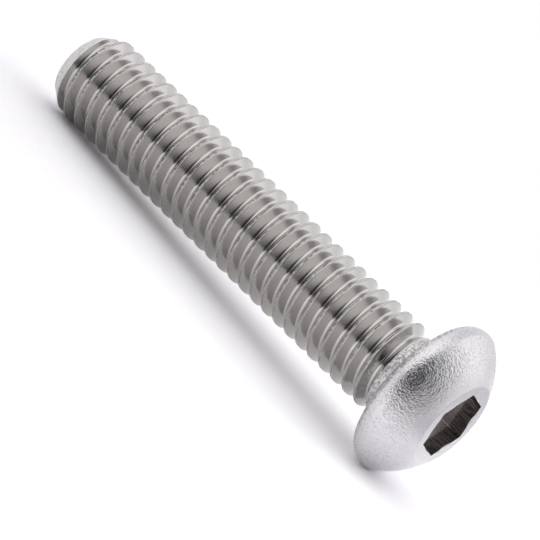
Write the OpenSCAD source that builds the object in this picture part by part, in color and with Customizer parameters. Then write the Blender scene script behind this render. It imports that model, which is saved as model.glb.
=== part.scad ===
// Button head screw with a six sided socket and a thread up to the head.
// It lies as it comes to rest: on the rim of its head and on the thread near its tip.

/* [Thread] */
// Outside diameter of the thread
thread_d = 5.88; // [5.7:0.02:6]
// Advance of the thread in one turn
pitch = 1; // [0.9:0.05:1.1]
// Length from the bearing face under the head to the tip
length = 29.65; // [20:0.05:32]
// Turn of the thread about the axis, degrees
thread_turn = 122; // [-180:1:180]
// Diameter of the flat end of the tip
tip_d = 4.4; // [4.2:0.05:4.6]
// Length of the cone that starts the thread at the tip
tip_cone = 1.2; // [0.8:0.1:1.6]

/* [Neck] */
// Diameter of the plain neck under the head
neck_d = 5.35; // [5.2:0.05:5.5]
// Length of the plain neck, where the last groove of the thread ends
neck_len = 1.15; // [1:0.05:1.3]
// Distance from the bearing face to the end of the full thread
thread_gap = 1.8; // [1.7:0.05:2.2]
// Length over which the crest of the thread falls to the neck
runout = 0.35; // [0.3:0.05:0.5]
// Radius of the fillet between neck and head
fillet_r = 0.35; // [0.2:0.05:0.4]

/* [Head] */
// Widest diameter of the head
head_d = 10.3; // [10:0.05:10.5]
// Height of the head
head_h = 3.2; // [3:0.05:3.3]
// Radius of the rounded rim of the head
rim_r = 0.95; // [0.6:0.05:1.1]
// Diameter of the flat land around the socket
land_d = 5.7; // [5.4:0.05:5.9]

/* [Socket] */
// Width of the socket across its flats
socket_w = 4; // [3.9:0.02:4.06]
// Depth of the straight walls of the socket
socket_depth = 2.1; // [1.8:0.05:2.2]
// Slope of the cone at the bottom of the socket, degrees
socket_cone = 15; // [10:1:18]
// Widest diameter of the bevel at the mouth of the socket
socket_mouth_d = 4.36; // [4.3:0.02:4.5]
// Turn of the socket about the axis, degrees
socket_turn = 14; // [-30:1:30]

/* [Hidden] */
$fn = 96;

// Thread form: one turn is cut into steps, of which the flat crest and the flat root take a few
turn_steps = 36;
crest_steps = 4;
root_steps = 6;
flank_angle = 30;
crest = crest_steps / turn_steps * pitch;
flank = (turn_steps - crest_steps - root_steps) / 2 / turn_steps * pitch;
thread_r = thread_d / 2;
root_r = thread_r - flank / tan(flank_angle);

// The thread starts beyond the tip, where it is cut off, and ends inside the neck
lead_turns = 1.2;
end_turns = 0.45;
thread_start = -length - lead_turns * pitch;
steps = floor((length / pitch + end_turns) * turn_steps);
line_up = [0, flank, flank + crest, 2 * flank + crest];
neck_r = neck_d / 2;
// Depth of the thread's last crests under the surface of the neck
sunk = 0.03;

// Head: a dome that meets the rounded rim at a tangent and ends in a flat land
rim_mid = head_d / 2 - rim_r;
land_r = land_d / 2;
// Both circles fix the dome: it holds the edge of the land and touches the rim
dome_a = (rim_mid * rim_mid - head_h * head_h - land_r * land_r) / (2 * (rim_r - head_h));
dome_b = rim_r / (rim_r - head_h);
quad_a = dome_b * dome_b - 1;
quad_b = 2 * dome_b * (dome_a - head_h);
quad_c = (head_h - dome_a) * (head_h - dome_a) + land_r * land_r;
dome_r = (-quad_b - sqrt(quad_b * quad_b - 4 * quad_a * quad_c)) / (2 * quad_a);
dome_z = dome_a + dome_b * dome_r;
socket_r = socket_w / 2 / cos(30);

// Rest: the floor touches the rim and the first full crest of the thread
cone_end = -length + tip_cone;
low_crest = thread_start + flank - pitch * thread_turn / 360;
crest_behind = low_crest + pitch * floor((cone_end - low_crest) / pitch);
rest_z = crest_behind + crest > cone_end ? cone_end : crest_behind + pitch;
rest_run = rim_r - rest_z;
rest_rise = rim_mid - thread_r;
tilt = atan2(rest_rise, rest_run) + asin(rim_r / norm([rest_run, rest_rise]));
lift = rim_mid * cos(tilt) + rim_r - rim_r * sin(tilt);
far_x = head_h * cos(tilt) + land_r * sin(tilt);
near_x = -length * cos(tilt) - tip_d / 2 * sin(tilt);
mid_x = (far_x + near_x) / 2;

// Share of the full crest left at height z, and the largest radius there
function left_at(z) = min(1, max(0, (runout - thread_gap - z) / runout));
function top_r(z) = neck_r - sunk + (thread_r - neck_r + sunk) * left_at(z);
function ring_r(r, z) = min(r, top_r(z));
function spot(r, a, z) = [ring_r(r, z) * cos(a), ring_r(r, z) * sin(a), z];
function line_z(i, j) = thread_start + pitch * i / turn_steps + line_up[j];
function line_r(j) = j == 1 || j == 2 ? thread_r : root_r;

// One continuous helical thread with its core: four lines wind up side by side, at the start of
// the flank, the start of the crest, its end and the end of the other flank
module thread_rod() {
    n = turn_steps;
    last = steps;
    low = 4 * (last + 1);
    top = low + 1;
    points = concat(
        [for (i = [0:last]) for (j = [0:3]) spot(line_r(j), i * 360 / n, line_z(i, j))],
        [[0, 0, thread_start + pitch / 2], [0, 0, line_z(last, 3) - pitch / 2]]
    );
    walls = [
        for (i = [0:last - 1]) for (j = [0:2])
            for (t = [
                [4 * i + j, 4 * i + j + 1, 4 * i + j + 5],
                [4 * i + j, 4 * i + j + 5, 4 * i + j + 4]
            ]) t
    ];
    roots = [
        for (i = [0:last - n - 1])
            for (t = [
                [4 * i + 3, 4 * (i + n), 4 * (i + n + 1)],
                [4 * i + 3, 4 * (i + n + 1), 4 * i + 7]
            ]) t
    ];
    low_fan = [for (i = [0:n - 1]) [low, 4 * i, 4 * i + 4]];
    low_step = [for (t = [[1, 0], [2, 1], [3, 2], [4 * n, 3]]) [low, t[0], t[1]]];
    top_fan = [for (i = [last - n:last - 1]) [top, 4 * i + 7, 4 * i + 3]];
    e = 4 * last;
    b = e - 4 * n + 3;
    top_step = [for (t = [[b, e], [e, e + 1], [e + 1, e + 2], [e + 2, e + 3]]) [top, t[0], t[1]]];
    polyhedron(points = points, faces = concat(walls, roots, low_fan, low_step, top_fan, top_step));
}

// What is cut away at the tip: a cone up to the full thread and a flat end
module tip_cut() {
    wide = thread_r + 1;
    slope = (thread_r - tip_d / 2) / tip_cone;
    rotate_extrude()
        polygon([
            [0, -length - 3 * pitch],
            [wide, -length - 3 * pitch],
            [wide, -length + (wide - tip_d / 2) / slope],
            [tip_d / 2, -length],
            [0, -length]
        ]);
}

module threaded_shank() {
    difference() {
        rotate([0, 0, thread_turn]) thread_rod();
        tip_cut();
    }
}

// Half section of the dome, the rim, the bearing face, the fillet and the neck
module head_section() {
    neck_end = neck_len + (neck_r - root_r + 0.05) * tan(flank_angle);
    intersection() {
        translate([0, dome_z]) circle(r = dome_r);
        polygon([
            [0, 0],
            [rim_mid, 0],
            [rim_mid, rim_r],
            [rim_mid + (head_h - rim_r) * rim_mid / (rim_r - dome_z), head_h],
            [0, head_h]
        ]);
    }
    translate([rim_mid, rim_r]) circle(r = rim_r);
    polygon([
        [0, head_h / 2],
        [neck_r, head_h / 2],
        [neck_r, -neck_len],
        [root_r - 0.05, -neck_end],
        [0, -neck_end]
    ]);
    difference() {
        translate([neck_r - fillet_r, -fillet_r]) square([2 * fillet_r, 1.5 * fillet_r]);
        translate([neck_r + fillet_r, -fillet_r]) circle(r = fillet_r);
    }
}

module socket() {
    floor_z = head_h - socket_depth;
    cone_r = socket_w / 2 - 0.1;
    cone_h = cone_r * tan(socket_cone);
    up = 0.02;
    bevel_h = (socket_mouth_d - socket_w) / 2;
    over = 0.2;
    rotate([0, 0, socket_turn])
        translate([0, 0, floor_z])
            cylinder(r = socket_r, h = socket_depth + 1, $fn = 6);
    translate([0, 0, floor_z - cone_h])
        cylinder(r1 = 0, r2 = cone_r + up / tan(socket_cone), h = cone_h + up);
    translate([0, 0, head_h - bevel_h - over])
        cylinder(r1 = socket_w / 2 - over, r2 = socket_mouth_d / 2 + over, h = bevel_h + 2 * over);
}

module head() {
    difference() {
        rotate_extrude() head_section();
        socket();
    }
}

// The whole screw, upright on its own axis with the bearing face at zero
module upright_screw() {
    head();
    threaded_shank();
}

module screw() {
    color([0.77, 0.76, 0.75])
        translate([-mid_x, 0, lift])
            rotate([0, 90 - tilt, 0])
                upright_screw();
}

screw();
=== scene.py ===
"""Looks of a button head screw with a six sided socket, lying on a pale floor."""

import math

import bpy
from mathutils import Matrix, Vector, noise


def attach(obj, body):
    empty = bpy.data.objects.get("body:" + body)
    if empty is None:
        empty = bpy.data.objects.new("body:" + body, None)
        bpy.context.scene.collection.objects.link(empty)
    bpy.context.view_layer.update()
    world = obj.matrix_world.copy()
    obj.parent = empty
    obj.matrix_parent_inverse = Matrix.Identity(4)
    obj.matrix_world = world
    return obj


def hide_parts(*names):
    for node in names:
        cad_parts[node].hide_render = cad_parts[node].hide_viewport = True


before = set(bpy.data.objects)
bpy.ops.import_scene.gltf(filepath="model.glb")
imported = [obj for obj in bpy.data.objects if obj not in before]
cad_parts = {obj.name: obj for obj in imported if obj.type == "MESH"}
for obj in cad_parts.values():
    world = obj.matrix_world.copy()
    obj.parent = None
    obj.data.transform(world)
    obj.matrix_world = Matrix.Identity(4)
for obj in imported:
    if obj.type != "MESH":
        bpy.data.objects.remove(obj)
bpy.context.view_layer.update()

MM = 0.001

# Sizes of the screw in millimetres, as in the CAD source but for a finer bevel at the socket's
# mouth, rounder roots and a narrow flat where the rim meets the dome. The screw is built upright
# on its own axis, with the bearing face under the head at height 0 and the tip below it.
THREAD_R = 2.94
PITCH = 1.0
LENGTH = 29.65
THREAD_TURN = math.radians(122)
TIP_R = 2.2
TIP_CONE = 1.2
NECK_R = 2.675
NECK_LEN = 1.15
THREAD_GAP = 1.8
RUNOUT = 0.35
SUNK = 0.03
FILLET_R = 0.35
HEAD_R = 5.15
HEAD_H = 3.2
RIM_R = 0.95
LAND_R = 2.85
SOCKET_W = 4.0
SOCKET_DEPTH = 2.1
SOCKET_CONE = math.radians(15)
SOCKET_MOUTH_R = 2.06
SOCKET_TURN = math.radians(14)

# The rim: the rings on it in degrees from its widest place, with their half width and depth, the
# height up to which its back is rough, and how far the flat reaches over the rim and the dome
RIM_STEPS = 96
RIM_RINGS = (-40, -31)
RING_WIDTH = 2.6
RING_DEPTH = 0.014
RIM_BACK = 0.46
FACET_TURN = 17
FACET_REACH = 0.3

# How far the soft edges reach to both sides: of the flat, the land, the neck's end, the socket's
# corners and the tip, and how far the neck's end goes into the shank
RIM_SOFT = 0.06
DOME_SOFT = 0.08
LAND_SOFT = 0.09
NECK_SOFT = 0.04
CORNER_SOFT = 0.08
TIP_SOFT_UP = 0.06
TIP_SOFT_IN = 0.05
NECK_INSIDE = 0.05

# Thread form, as shares of the pitch, with the two lips on the crest and the seam between them
CREST = 4 / 36
FLANK = 13 / 36
LIPS = (-0.078, 0.059)
SEAM = (-0.05, -0.003)
ROOT_R = THREAD_R - FLANK * PITCH / math.tan(math.radians(30))
ROOT_ROUND = 0.18
LEAD_TURNS = 1.2
END_TURNS = 0.1
THREAD_START = -LENGTH - LEAD_TURNS * PITCH
TURN_STEPS = 144
TIP_SLOPE = (THREAD_R - TIP_R) / TIP_CONE

# Wear of the crests: the share of the pitch that it reaches from their middle, and how close
# together and how deep its waves and its nicks are
WORN_SHARE = 0.06
WORN_ALL_ROUND = 0.003
WAVE_SCALE = 1.1
WAVE_DEPTH = 0.006
NICK_SCALE = 6.5
NICK_START = 0.12
NICK_DEPTH = 0.07

# The side of the upright screw on which painted shade darkens the seam
SHADED_SEAM_SIDE = (-0.28, -0.96, 0)

# The dome of the head holds the edge of the land and touches the rounded rim
RIM_MID = HEAD_R - RIM_R


def dome_circle():
    """Radius of the dome and the height of its centre."""
    a = (RIM_MID**2 - HEAD_H**2 - LAND_R**2) / (2 * (RIM_R - HEAD_H))
    b = RIM_R / (RIM_R - HEAD_H)
    qa = b * b - 1
    qb = 2 * b * (a - HEAD_H)
    qc = (HEAD_H - a) ** 2 + LAND_R**2
    radius = (-qb - math.sqrt(qb * qb - 4 * qa * qc)) / (2 * qa)
    return radius, a + b * radius


DOME_R, DOME_Z = dome_circle()


def rest_matrix():
    """Places the upright screw as it lies: on the rim of its head and on its thread."""
    cone_end = -LENGTH + TIP_CONE
    low_crest = THREAD_START + FLANK * PITCH - PITCH * THREAD_TURN / math.tau
    crest = low_crest + PITCH * math.floor((cone_end - low_crest) / PITCH)
    rest_z = cone_end if crest + CREST * PITCH > cone_end else crest + PITCH
    run = RIM_R - rest_z
    rise = RIM_MID - THREAD_R
    tilt = math.atan2(rise, run) + math.asin(RIM_R / math.hypot(run, rise))
    lift = RIM_MID * math.cos(tilt) + RIM_R - RIM_R * math.sin(tilt)
    far_x = HEAD_H * math.cos(tilt) + LAND_R * math.sin(tilt)
    near_x = -LENGTH * math.cos(tilt) - TIP_R * math.sin(tilt)
    move = Vector((-(far_x + near_x) / 2, 0, lift)) * MM
    return Matrix.Translation(move) @ Matrix.Rotation(math.pi / 2 - tilt, 4, "Y")


REST = rest_matrix()

# The light tent: its cloth, its two lit panels and its shaded corner by turn, rise and reach in
# degrees, and the dark opening round the camera, with the direction of its middle, how far its
# right end is raised, how narrow it is across and up, and how soft its edge is
CLOTH = (1.01, 1.0, 1.025)
PANEL = (1.44, 1.425, 1.45)
SHADE = (0.6, 0.6, 0.61)
LEFT_PANEL = (-47, 51, 50)
RIGHT_PANEL = (146, 46, 32)
SHADED_CORNER = (-136, 63, 20)
DARK = (0.037, 0.036, 0.037)
OPENING_TURN = 26
OPENING_RISE = 5
OPENING_LEAN = 26
OPENING_SCALE = (0.4, 0.84)
OPENING_EDGE = (0.33, 1.03)

# Tone of the floor beside the tip, beside the head and past the picture to its right, of the
# dark floor in front of the picture, and of what the floor throws back on matt surfaces. The
# camera and the metal see one and the same floor. Its white grows towards the head as painted
# light that lifts the screw's shadow there, and the dark floor in front is painted shade that
# the metal reflects.
WHITE_AT_TIP = (1.07, 1.065, 1.08)
WHITE_AT_HEAD = (1.376, 1.37, 1.385)
WHITE_BESIDE = (0.76, 0.755, 0.77)
PAINTED_FRONT_SHADE = (0.06, 0.06, 0.06)
FLOOR_BOUNCE = (0.6, 0.59, 0.6)

# Where these tones change, in metres, and the grain of the paper
TIP_TO_HEAD = (-0.012, 0.018)
PICTURE_EDGE = (0.02, 0.03)
FRONT_SHADE_START = (-0.1, -0.085)
PAPER_SCALE = 1600
PAPER_TONE = (0.965, 1.055)

# The photograph's view, worked out from the crests of the thread and the outline of the head
CAMERA_PLACE = (0.0742448, -0.1712087, 0.0462607)
CAMERA_TURN = (72.3041, -42.15188, 35.05359)
CAMERA_LENS = 218.37


# Mesh helpers


def new_object(name, points, faces):
    """A mesh object from points in millimetres on the screw's own axis."""
    mesh = bpy.data.meshes.new(name)
    mesh.from_pydata([(x * MM, y * MM, z * MM) for x, y, z in points], [], faces)
    mesh.update()
    obj = bpy.data.objects.new(name, mesh)
    bpy.context.scene.collection.objects.link(obj)
    return obj


def ring_point(radius, angle, z):
    return (radius * math.cos(angle), radius * math.sin(angle), z)


def lathe(name, outline, steps):
    """A closed solid turned from an outline of (radius, height) that starts and ends on the axis."""
    points = [(0, 0, outline[0][1]), (0, 0, outline[-1][1])]
    rings = outline[1:-1]
    for radius, z in rings:
        points += [ring_point(radius, math.tau * i / steps, z) for i in range(steps)]
    faces = []
    last = 2 + (len(rings) - 1) * steps
    for i in range(steps):
        k = (i + 1) % steps
        faces.append((0, 2 + k, 2 + i))
        faces.append((1, last + i, last + k))
        for j in range(len(rings) - 1):
            low = 2 + j * steps
            faces.append((low + i, low + k, low + steps + k, low + steps + i))
    return new_object(name, points, faces)


def prism(name, corners, low, high):
    """An upright prism over corners given as (x, y)."""
    n = len(corners)
    points = [(x, y, low) for x, y in corners] + [(x, y, high) for x, y in corners]
    faces = [tuple(reversed(range(n))), tuple(range(n, 2 * n))]
    faces += [(i, (i + 1) % n, n + (i + 1) % n, n + i) for i in range(n)]
    return new_object(name, points, faces)


def cut_away(obj, cutter):
    """Takes the cutter's volume out of obj and removes the cutter."""
    step = obj.modifiers.new("cut", "BOOLEAN")
    step.operation = "DIFFERENCE"
    step.solver = "EXACT"
    step.object = cutter
    graph = bpy.context.evaluated_depsgraph_get()
    obj.data = bpy.data.meshes.new_from_object(obj.evaluated_get(graph))
    obj.modifiers.clear()
    bpy.data.objects.remove(cutter)


def arc(centre, radius, start, end, steps):
    """Points of an arc in the plane of the outline, angles in degrees."""
    spots = []
    for i in range(steps + 1):
        a = math.radians(start + (end - start) * i / steps)
        spots.append((centre[0] + radius * math.cos(a), centre[1] + radius * math.sin(a)))
    return spots


def soft_corner(before, corner, after, reach, steps=5):
    """Replaces a corner of an outline with a short curve that starts and ends at reach from it."""
    c = Vector(corner)
    start = c + (Vector(before) - c).normalized() * reach
    end = c + (Vector(after) - c).normalized() * reach
    spots = []
    for i in range(steps + 1):
        t = i / steps
        spots.append(tuple(start * (1 - t) ** 2 + c * 2 * t * (1 - t) + end * t * t))
    return spots


# Threaded shank


def crest_profile():
    """The crest from the tip's side to the head's as (share of pitch, drop): a lip, the seam that
    rolling leaves and a second lip that leans on it."""
    slope = math.tan(math.radians(60)) * PITCH
    first = [(-0.076, 0.031), (-0.05, 0.004)]
    seam = [(-0.044, 0.045), (-0.01, 0.046)]
    second = [(-0.003, 0.024), (0.052, 0.003), (0.058, 0), (0.065, 0.045)]
    below = [(u, (u - CREST / 2) * slope) for u in (0.085, 0.1)]
    above = [(-u, (u - CREST / 2) * slope) for u in (0.1, 0.084)]
    return above + first + seam + second + below


def root_profile():
    """The round root from its middle to where it meets the flank, as (share of pitch, radius)."""
    middle = THREAD_R - (0.5 - CREST / 2) * PITCH * math.tan(math.radians(60)) + 2 * ROOT_ROUND
    angles = [math.radians(a) for a in (0, 15, 30, 45, 60)]
    return [(ROOT_ROUND * math.sin(a) / PITCH, middle - ROOT_ROUND * math.cos(a)) for a in angles]


def thread_profile():
    """One pitch from root to root as (share of pitch from the crest, radius)."""
    root = root_profile()
    rise = [(u - 0.5, r) for u, r in root]
    fall = [(0.5 - u, r) for u, r in reversed(root[1:])]
    return rise + [(u, THREAD_R - drop) for u, drop in crest_profile()] + fall


def largest_radius(z):
    """The crests fall to the neck over the run-out under the head."""
    left = min(1, max(0, (RUNOUT - THREAD_GAP - z) / RUNOUT))
    return NECK_R - SUNK + (THREAD_R - NECK_R + SUNK) * left


def dent(angle, z, share):
    """Small nicks and unevenness that rolling leaves on the crests, other ones on each lip."""
    if abs(share) > WORN_SHARE:
        return 0
    lip = 4 if share > 0 else -4
    place = Vector((2.9 * math.cos(angle), 2.9 * math.sin(angle), z * 0.9 + lip))
    wave = noise.noise(place * WAVE_SCALE) * WAVE_DEPTH
    nick = max(0, noise.noise(place * NICK_SCALE) - NICK_START) * NICK_DEPTH
    return nick + wave + WORN_ALL_ROUND


def rod_points(profile, rows, first_crest):
    """Rows of the profile, each a step further round the axis and up it."""
    points = []
    for i in range(rows + 1):
        angle = THREAD_TURN + math.tau * i / TURN_STEPS
        for share, radius in profile:
            z = first_crest + PITCH * (i / TURN_STEPS + share)
            worn = radius - dent(angle, z, share)
            points.append(ring_point(min(worn, largest_radius(z)), angle, z))
    return points


def rod_index(row, column, width):
    """A place in the rows of points; the one past a row's end starts the row a turn further up."""
    if column == width:
        return (row + TURN_STEPS) * width
    return row * width + column


def rod_faces(rows, width):
    """Four sided faces between the rows. The last turn has no next turn to join."""
    faces = []
    for i in range(rows):
        columns = width if i + 1 + TURN_STEPS <= rows else width - 1
        for j in range(columns):
            corners = ((i, j), (i + 1, j), (i + 1, j + 1), (i, j + 1))
            faces.append(tuple(rod_index(row, column, width) for row, column in corners))
    return faces


def fan(middle, loop):
    """Triangles that close a loop of points round its middle."""
    return [(middle, a, b) for a, b in zip(loop, loop[1:])]


def threaded_rod():
    """One continuous helical surface, longer than the shank at both ends."""
    profile = thread_profile()
    width = len(profile)
    first_crest = THREAD_START + (FLANK + CREST / 2) * PITCH
    rows = int((LENGTH / PITCH + LEAD_TURNS + END_TURNS) * TURN_STEPS)
    last_turn = rows - TURN_STEPS
    points = rod_points(profile, rows, first_crest)
    faces = rod_faces(rows, width)
    low = len(points)
    points.append((0, 0, first_crest - PITCH / 2))
    loop = [rod_index(0, j, width) for j in range(width + 1)]
    loop += [rod_index(i, 0, width) for i in range(TURN_STEPS - 1, -1, -1)]
    faces += fan(low, loop)
    points.append((0, 0, first_crest + PITCH * (rows / TURN_STEPS - 0.5)))
    loop = [rod_index(i, width - 1, width) for i in range(last_turn, rows + 1)]
    loop += [rod_index(rows, j, width) for j in range(width - 2, -1, -1)]
    loop += [rod_index(last_turn, width - 1, width)]
    faces += fan(low + 1, loop)
    return new_object("threaded_shank", points, faces)


def from_crest(centre):
    """How far a place lies from the middle of the nearest crest, as a share of the pitch."""
    turns = (math.atan2(centre.y, centre.x) - THREAD_TURN) / math.tau
    share = (centre.z - THREAD_START) / PITCH - FLANK - CREST / 2 - turns
    return (share + 0.5) % 1 - 0.5


def tip_cutter():
    """What is cut away at the tip: a cone up to the full thread and a flat end."""
    wide = THREAD_R + 1
    outline = [
        (0, -LENGTH - 3 * PITCH),
        (wide, -LENGTH - 3 * PITCH),
        (wide, -LENGTH + (wide - TIP_R) / TIP_SLOPE),
        (TIP_R + TIP_SOFT_UP * TIP_SLOPE, -LENGTH + TIP_SOFT_UP),
        (TIP_R - TIP_SOFT_IN, -LENGTH),
        (0, -LENGTH),
    ]
    return lathe("tip_cutter", outline, 192)


def on_tip(centre):
    """True for a face of the cone or the flat end of the tip."""
    radius = math.hypot(centre.x, centre.y)
    from_cone = radius - TIP_R - (centre.z + LENGTH) * TIP_SLOPE
    return abs(from_cone) < 0.01 or centre.z < -LENGTH + TIP_SOFT_UP + 0.001


# Head


def ringed_rim(end):
    """The rounded rim, with the fine rings that the die leaves behind its widest place."""
    spots = []
    for i in range(RIM_STEPS + 1):
        turn = -90 + (end + 90) * i / RIM_STEPS
        depth = sum(RING_DEPTH * max(0, 1 - abs(turn - ring) / RING_WIDTH) for ring in RIM_RINGS)
        a = math.radians(turn)
        reach = RIM_R - depth
        spots.append((RIM_MID + reach * math.cos(a), RIM_R + reach * math.sin(a)))
    return spots


def head_outline():
    """Half section of the neck, the fillet, the bearing face, the rim, the flat, the dome and the
    land round the socket."""
    neck_end = NECK_LEN + (NECK_R - ROOT_R + NECK_INSIDE) * math.tan(math.radians(30))
    lean = math.degrees(math.atan2(RIM_R - DOME_Z, RIM_MID))
    land_angle = math.degrees(math.atan2(HEAD_H - DOME_Z, LAND_R))
    rim = ringed_rim(lean - FACET_TURN)
    dome_start = lean + math.degrees(FACET_REACH / DOME_R)
    dome = arc((0, DOME_Z), DOME_R, dome_start, land_angle, 28)
    outer = soft_corner(rim[-2], rim[-1], dome[0], RIM_SOFT, 3)
    inner = soft_corner(rim[-1], dome[0], dome[1], DOME_SOFT, 3)
    land = soft_corner(dome[-2], (LAND_R, HEAD_H), (0, HEAD_H), LAND_SOFT)
    lower = soft_corner((ROOT_R, -neck_end), (NECK_R, -NECK_LEN), (NECK_R, 0), NECK_SOFT)
    fillet = arc((NECK_R + FILLET_R, -FILLET_R), FILLET_R, 180, 90, 10)
    outline = [(0, -neck_end), (ROOT_R - NECK_INSIDE, -neck_end)] + lower
    return outline + fillet + rim[:-2] + outer + inner + dome[1:-1] + land + [(0, HEAD_H)]


def socket_corners(radius):
    """The hexagon with small rounded corners, as the punch leaves them."""
    corners = [ring_point(radius, SOCKET_TURN + math.tau * i / 6, 0)[:2] for i in range(6)]
    spots = []
    for i in range(6):
        spots += soft_corner(corners[i - 1], corners[i], corners[(i + 1) % 6], CORNER_SOFT, 4)
    return spots


def cut_socket(head):
    floor_z = HEAD_H - SOCKET_DEPTH
    corner_r = SOCKET_W / 2 / math.cos(math.radians(30))
    cut_away(head, prism("socket_walls", socket_corners(corner_r), floor_z, HEAD_H + 1))
    cone_r = SOCKET_W / 2 - 0.1
    drop = cone_r * math.tan(SOCKET_CONE)
    edge = 0.02
    cone = [(0, floor_z - drop), (cone_r, floor_z), (cone_r + edge, floor_z + edge), (0, floor_z + edge)]
    cut_away(head, lathe("socket_cone", cone, 96))
    over = 0.2
    bevel = SOCKET_MOUTH_R - SOCKET_W / 2
    low = HEAD_H - bevel - over
    mouth = [
        (0, low),
        (SOCKET_W / 2 - over, low),
        (SOCKET_MOUTH_R + over, HEAD_H + over),
        (0, HEAD_H + over),
    ]
    cut_away(head, lathe("socket_mouth", mouth, 192))


def in_socket(centre, normal):
    """True for a face of the socket's walls or floor, but not of its bevel."""
    radius = math.hypot(centre.x, centre.y)
    bevel = centre.z > HEAD_H - 0.2 and normal.z > 0.3
    return radius < 2.34 and 0.2 < centre.z < HEAD_H - 0.01 and not bevel


# Materials


def add(tree, kind, inputs=(), **settings):
    """A new node with its settings, and a link or value for each named input."""
    made = tree.nodes.new(kind)
    for key, value in settings.items():
        setattr(made, key, value)
    for key, value in dict(inputs).items():
        if isinstance(value, bpy.types.NodeSocket):
            tree.links.new(value, made.inputs[key])
        else:
            made.inputs[key].default_value = value
    return made


def new_material(name):
    material = bpy.data.materials.new(name)
    material.use_nodes = True
    material.node_tree.nodes.clear()
    return material, material.node_tree


def place_in_mm(tree, stretch=(1, 1, 1)):
    """Place on the upright screw in millimetres, stretched along its axes."""
    coordinates = add(tree, "ShaderNodeTexCoord")
    inputs = {
        "Vector": coordinates.outputs["Object"],
        "Location": REST.to_translation(),
        "Rotation": REST.to_euler(),
        "Scale": (MM / stretch[0], MM / stretch[1], MM / stretch[2]),
    }
    return add(tree, "ShaderNodeMapping", inputs, vector_type="TEXTURE").outputs["Vector"]


def noise_at(tree, place, scale, detail=3.0, roughness=0.5):
    inputs = {"Vector": place, "Scale": scale, "Detail": detail, "Roughness": roughness}
    return add(tree, "ShaderNodeTexNoise", inputs).outputs["Fac"]


def remap(tree, value, low, high, to_low, to_high):
    inputs = {0: value, 1: low, 2: high, 3: to_low, 4: to_high}
    return add(tree, "ShaderNodeMapRange", inputs).outputs[0]


def mix_colours(tree, factor, first, second):
    made = add(tree, "ShaderNodeMix", data_type="RGBA")
    tree.links.new(factor, made.inputs["Factor"])
    for socket, colour in ((made.inputs[6], first), (made.inputs[7], second)):
        if isinstance(colour, bpy.types.NodeSocket):
            tree.links.new(colour, socket)
        else:
            socket.default_value = (*colour, 1)
    return made.outputs[2]


def bump(tree, height, depth, after=None, strength=1.0):
    """A bump whose height runs over depth millimetres."""
    inputs = {"Height": height, "Distance": depth * MM, "Strength": strength}
    if after is not None:
        inputs["Normal"] = after
    return add(tree, "ShaderNodeBump", inputs).outputs["Normal"]


def metal(tree, colour, roughness, normal, share=1.0):
    """Steel as the surface; a share under one is as matt as torn or sheared metal."""
    inputs = {"Base Color": colour, "Metallic": share, "Roughness": roughness, "Normal": normal}
    shader = add(tree, "ShaderNodeBsdfPrincipled", inputs)
    output = add(tree, "ShaderNodeOutputMaterial")
    tree.links.new(shader.outputs[0], output.inputs["Surface"])


def thread_steel():
    """Rolled flanks: smooth, with faint clouds, a little warm."""
    material, tree = new_material("thread_steel")
    place = place_in_mm(tree)
    cloud = noise_at(tree, place, 0.9)
    grain = noise_at(tree, place, 9.0)
    colour = mix_colours(tree, cloud, (0.51, 0.493, 0.477), (0.557, 0.54, 0.524))
    rough = remap(tree, grain, 0.3, 0.7, 0.12, 0.2)
    normal = bump(tree, grain, 0.0008)
    metal(tree, colour, rough, normal)
    return material


def crest_steel():
    """The lips of the crests: dull and a little torn, and pale as a painted highlight, so they catch
    light all round.
    """
    material, tree = new_material("crest_steel")
    place = place_in_mm(tree)
    grain = noise_at(tree, place, 7.0, 3.0, 0.6)
    torn = remap(tree, grain, 0.4, 0.6, 0, 1)
    # Painted highlight: the lips are far paler than the flanks
    colour = mix_colours(tree, torn, (0.74, 0.73, 0.73), (0.8, 0.79, 0.79))
    rough = remap(tree, torn, 0, 1, 0.18, 0.6)
    normal = bump(tree, grain, 0.04)
    metal(tree, colour, rough, normal, 0.35)
    return material


def seam_steel():
    """The seam between the lips: pale, a painted highlight, and painted shade darkens it here and there
    on one side.
    """
    material, tree = new_material("seam_steel")
    place = place_in_mm(tree)
    grain = noise_at(tree, place, 3.5, 2.0, 0.6)
    inputs = {0: place, 1: SHADED_SEAM_SIDE}
    side = add(tree, "ShaderNodeVectorMath", inputs, operation="DOT_PRODUCT").outputs["Value"]
    clear = remap(tree, side, 2.15, 2.75, 1, 0)
    # Painted shade: dark spots in the seam, only on one side of the screw
    seam_shade = remap(tree, grain, 0.45, 0.54, 0, 1)
    seam_unshaded = add(tree, "ShaderNodeMath", {0: seam_shade, 1: clear}, operation="MAXIMUM").outputs[0]
    colour = mix_colours(tree, seam_unshaded, (0.075, 0.073, 0.07), (0.75, 0.745, 0.745))
    rough = remap(tree, seam_unshaded, 0, 1, 0.45, 0.3)
    normal = bump(tree, grain, 0.02)
    metal(tree, colour, rough, normal, 0.35)
    return material


def worn_steel():
    """The sheared tip: duller and rougher than the rolled flanks."""
    material, tree = new_material("worn_steel")
    place = place_in_mm(tree)
    grain = noise_at(tree, place, 7.0, 3.0, 0.6)
    patch = noise_at(tree, place, 2.2)
    pits = remap(tree, grain, 0.36, 0.5, 0, 1)
    colour = mix_colours(tree, pits, (0.5, 0.49, 0.493), (0.745, 0.736, 0.74))
    rough = remap(tree, patch, 0.3, 0.7, 0.38, 0.5)
    normal = bump(tree, grain, 0.04)
    metal(tree, colour, rough, normal, 0.5)
    return material


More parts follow.
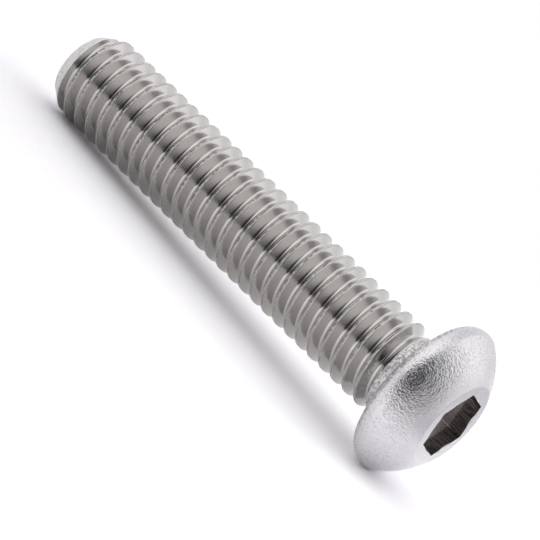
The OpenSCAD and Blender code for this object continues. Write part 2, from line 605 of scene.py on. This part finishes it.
def head_steel():
    """The pressed head: satin, with faint rings near the land and a granular skin further out."""
    material, tree = new_material("head_steel")
    place = place_in_mm(tree)
    grain = noise_at(tree, place, 4.5, 2.0, 0.55)
    speckle = noise_at(tree, place, 9.0, 2.0, 0.6)
    fine = noise_at(tree, place, 20.0)
    cloud = noise_at(tree, place, 1.2, 5.0, 0.7)
    inputs = {0: place, 1: (1, 1, 0)}
    across = add(tree, "ShaderNodeVectorMath", inputs, operation="MULTIPLY").outputs[0]
    radius = add(tree, "ShaderNodeVectorMath", {0: across}, operation="LENGTH").outputs["Value"]
    skin = remap(tree, radius, LAND_R + 0.2, RIM_MID, 0.25, 1)
    pits = remap(tree, noise_at(tree, place, 8.0, 2.0), 0.54, 0.7, 0, 0.6)
    inputs = {0: pits, 1: skin}
    pitted = add(tree, "ShaderNodeMath", inputs, operation="MULTIPLY").outputs[0]
    clean = mix_colours(tree, cloud, (0.585, 0.575, 0.588), (0.72, 0.712, 0.724))
    colour = mix_colours(tree, pitted, clean, (0.37, 0.36, 0.37))
    rough = remap(tree, fine, 0.3, 0.7, 0.15, 0.23)
    out = add(tree, "ShaderNodeCombineXYZ", {"X": radius}).outputs["Vector"]
    smooth = remap(tree, skin, 0.25, 0.6, 1, 0)
    ringed = bump(tree, noise_at(tree, out, 5.0, 3.0, 0.6), 0.014, strength=smooth)
    coarse = bump(tree, grain, 0.035, ringed, strength=skin)
    speckled = bump(tree, speckle, 0.03, coarse, strength=skin)
    normal = bump(tree, fine, 0.006, speckled)
    metal(tree, colour, rough, normal)
    return material


def rough_steel():
    """The neck and the back of the rim, which nothing polished: dull, with a coarse skin."""
    material, tree = new_material("rough_steel")
    place = place_in_mm(tree)
    grain = noise_at(tree, place, 7.0, 2.0)
    scale = remap(tree, grain, 0.38, 0.6, 0, 1)
    colour = mix_colours(tree, scale, (0.335, 0.33, 0.33), (0.705, 0.695, 0.695))
    rough = remap(tree, grain, 0.3, 0.7, 0.42, 0.26)
    normal = bump(tree, grain, 0.09)
    metal(tree, colour, rough, normal)
    return material


def socket_steel():
    """The punched walls of the socket: warm and scored, and darker near the mouth."""
    material, tree = new_material("socket_steel")
    place = place_in_mm(tree)
    marks = place_in_mm(tree, (1, 1, 0.1))
    streak = noise_at(tree, marks, 9.0, 3.0, 0.6)
    height = add(tree, "ShaderNodeSeparateXYZ", {"Vector": place}).outputs["Z"]
    near = remap(tree, height, HEAD_H - 1.0, HEAD_H - 0.9, 0, 1)
    contrast = remap(tree, streak, 0.38, 0.62, 0, 1)
    mouth = mix_colours(tree, contrast, (0.16, 0.152, 0.147), (0.45, 0.43, 0.42))
    deep = mix_colours(tree, streak, (0.625, 0.6, 0.58), (0.705, 0.68, 0.66))
    colour = mix_colours(tree, near, deep, mouth)
    rough = remap(tree, streak, 0.3, 0.7, 0.14, 0.26)
    normal = bump(tree, streak, 0.02)
    metal(tree, colour, rough, normal)
    return material


def paint(obj, materials, choose):
    """Gives each face the material that choose picks by its centre in millimetres and its normal."""
    for material in materials:
        obj.data.materials.append(material)
    for face in obj.data.polygons:
        face.material_index = choose(face.center / MM, face.normal)


def finish_piece(obj, sharp_angle):
    obj.data.shade_smooth()
    obj.data.set_sharp_from_angle(angle=math.radians(sharp_angle))
    obj.data.transform(REST)
    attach(obj, "root")
    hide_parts("screw")


def shank_part(centre, normal):
    """0 on the flanks and roots, 1 on the tip, 2 on the lips of the crest, 3 in its seam."""
    if on_tip(centre):
        return 1
    share = from_crest(centre)
    if SEAM[0] < share < SEAM[1]:
        return 3
    return 2 if LIPS[0] < share < LIPS[1] else 0


def head_part(centre, normal):
    """0 on the dome and the land, 1 in the socket, 2 on the neck and the back of the rim."""
    if in_socket(centre, normal):
        return 1
    return 2 if centre.z < RIM_BACK else 0


def build_shank():
    shank = threaded_rod()
    cut_away(shank, tip_cutter())
    steels = [thread_steel(), worn_steel(), crest_steel(), seam_steel()]
    paint(shank, steels, shank_part)
    finish_piece(shank, 40)


def build_head():
    head = lathe("head", head_outline(), 192)
    cut_socket(head)
    paint(head, [head_steel(), socket_steel(), rough_steel()], head_part)
    finish_piece(head, 30)


# Stage


def build_floor():
    """A sheet that the camera, metal and glass see as white, and that keeps the screw's shadow; painted
    light brightens it towards the head and painted shade darkens it in front.
    """
    half = 3.0
    corners = [(-half, -half, 0), (half, -half, 0), (half, half, 0), (-half, half, 0)]
    mesh = bpy.data.meshes.new("floor")
    mesh.from_pydata(corners, [], [(0, 1, 2, 3)])
    floor = bpy.data.objects.new("floor", mesh)
    bpy.context.scene.collection.objects.link(floor)
    material, tree = new_material("pale_floor")
    path = add(tree, "ShaderNodeLightPath")
    inputs = {0: path.outputs["Is Camera Ray"], 1: path.outputs["Is Glossy Ray"]}
    direct = add(tree, "ShaderNodeMath", inputs).outputs[0]
    inputs = {0: direct, 1: path.outputs["Is Transmission Ray"]}
    seen = add(tree, "ShaderNodeMath", inputs, use_clamp=True).outputs[0]
    place = add(tree, "ShaderNodeTexCoord").outputs["Object"]
    spot = add(tree, "ShaderNodeSeparateXYZ", {"Vector": place})
    # Painted light: the floor's white grows towards the head and lifts the screw's shadow there
    along = remap(tree, spot.outputs["X"], *TIP_TO_HEAD, 0, 1)
    middle = mix_colours(tree, along, WHITE_AT_TIP, WHITE_AT_HEAD)
    beside = remap(tree, spot.outputs["X"], *PICTURE_EDGE, 0, 1)
    sheet = mix_colours(tree, beside, middle, WHITE_BESIDE)
    # Painted shade: the floor turns dark in front of the picture, where the metal sees it
    out_of_front_shade = remap(tree, spot.outputs["Y"], *FRONT_SHADE_START, 0, 1)
    plain = mix_colours(tree, out_of_front_shade, PAINTED_FRONT_SHADE, sheet)
    grain = noise_at(tree, place, PAPER_SCALE, 3.0, 0.7)
    paper = remap(tree, grain, 0.3, 0.7, *PAPER_TONE)
    inputs = {0: plain, "Scale": paper}
    white = add(tree, "ShaderNodeVectorMath", inputs, operation="SCALE").outputs[0]
    tone = mix_colours(tree, seen, FLOOR_BOUNCE, white)
    shader = add(tree, "ShaderNodeBsdfDiffuse", {"Color": tone})
    output = add(tree, "ShaderNodeOutputMaterial")
    tree.links.new(shader.outputs[0], output.inputs["Surface"])
    mesh.materials.append(material)


def direction(turn, rise):
    """The unit vector at a turn from the front and a rise over the floor, in degrees."""
    t = math.radians(turn)
    r = math.radians(rise)
    return (math.sin(t) * math.cos(r), -math.cos(t) * math.cos(r), math.sin(r))


def panel_share(tree, view, panel):
    """How much of a view falls on a soft round panel of the tent."""
    turn, rise, reach = panel
    inputs = {0: view, 1: direction(turn, rise)}
    facing = add(tree, "ShaderNodeVectorMath", inputs, operation="DOT_PRODUCT").outputs["Value"]
    inputs = {0: facing, 1: math.cos(math.radians(reach)), 2: 1, 3: 0, 4: 1}
    return add(tree, "ShaderNodeMapRange", inputs, interpolation_type="SMOOTHSTEP").outputs[0]


def build_world():
    """A light tent with two lit panels, a shaded corner and a dark opening round the camera."""
    world = bpy.data.worlds.new("tent")
    bpy.context.scene.world = world
    world.use_nodes = True
    tree = world.node_tree
    tree.nodes.clear()
    view = add(tree, "ShaderNodeTexCoord").outputs["Generated"]
    turned = Matrix.Rotation(math.radians(OPENING_TURN - 90), 3, "Z")
    raised = Matrix.Rotation(math.radians(-OPENING_RISE), 3, "Y")
    leaning = Matrix.Rotation(math.radians(OPENING_LEAN), 3, "X")
    inputs = {"Vector": view, "Rotation": (turned @ raised @ leaning).to_euler()}
    facing = add(tree, "ShaderNodeMapping", inputs, vector_type="TEXTURE").outputs["Vector"]
    inputs = {"Vector": facing, "Location": (-1, 0, 0), "Scale": (1, *OPENING_SCALE)}
    offset = add(tree, "ShaderNodeMapping", inputs).outputs["Vector"]
    away = add(tree, "ShaderNodeVectorMath", {0: offset}, operation="LENGTH").outputs["Value"]
    inputs = {0: away, 1: OPENING_EDGE[0], 2: OPENING_EDGE[1], 3: 0, 4: 1}
    share = add(tree, "ShaderNodeMapRange", inputs, interpolation_type="SMOOTHSTEP").outputs[0]
    panels = [panel_share(tree, view, panel) for panel in (LEFT_PANEL, RIGHT_PANEL)]
    lit = add(tree, "ShaderNodeMath", {0: panels[0], 1: panels[1]}, use_clamp=True).outputs[0]
    cloth = mix_colours(tree, lit, CLOTH, PANEL)
    shaded = mix_colours(tree, panel_share(tree, view, SHADED_CORNER), cloth, SHADE)
    colour = mix_colours(tree, share, DARK, shaded)
    background = add(tree, "ShaderNodeBackground", {"Color": colour, "Strength": 1.0})
    output = add(tree, "ShaderNodeOutputWorld")
    tree.links.new(background.outputs[0], output.inputs["Surface"])


def build_camera():
    """The photograph's view: low and from far off, with the camera turned about its own axis."""
    data = bpy.data.cameras.new("camera")
    data.sensor_width = 36
    data.lens = CAMERA_LENS
    data.clip_start = 0.01
    data.clip_end = 20
    camera = bpy.data.objects.new("camera", data)
    camera.location = CAMERA_PLACE
    camera.rotation_euler = [math.radians(a) for a in CAMERA_TURN]
    bpy.context.scene.collection.objects.link(camera)
    bpy.context.scene.camera = camera


def main():
    bpy.context.scene.view_settings.view_transform = "Standard"
    build_shank()
    build_head()
    build_floor()
    build_world()
    build_camera()


main()
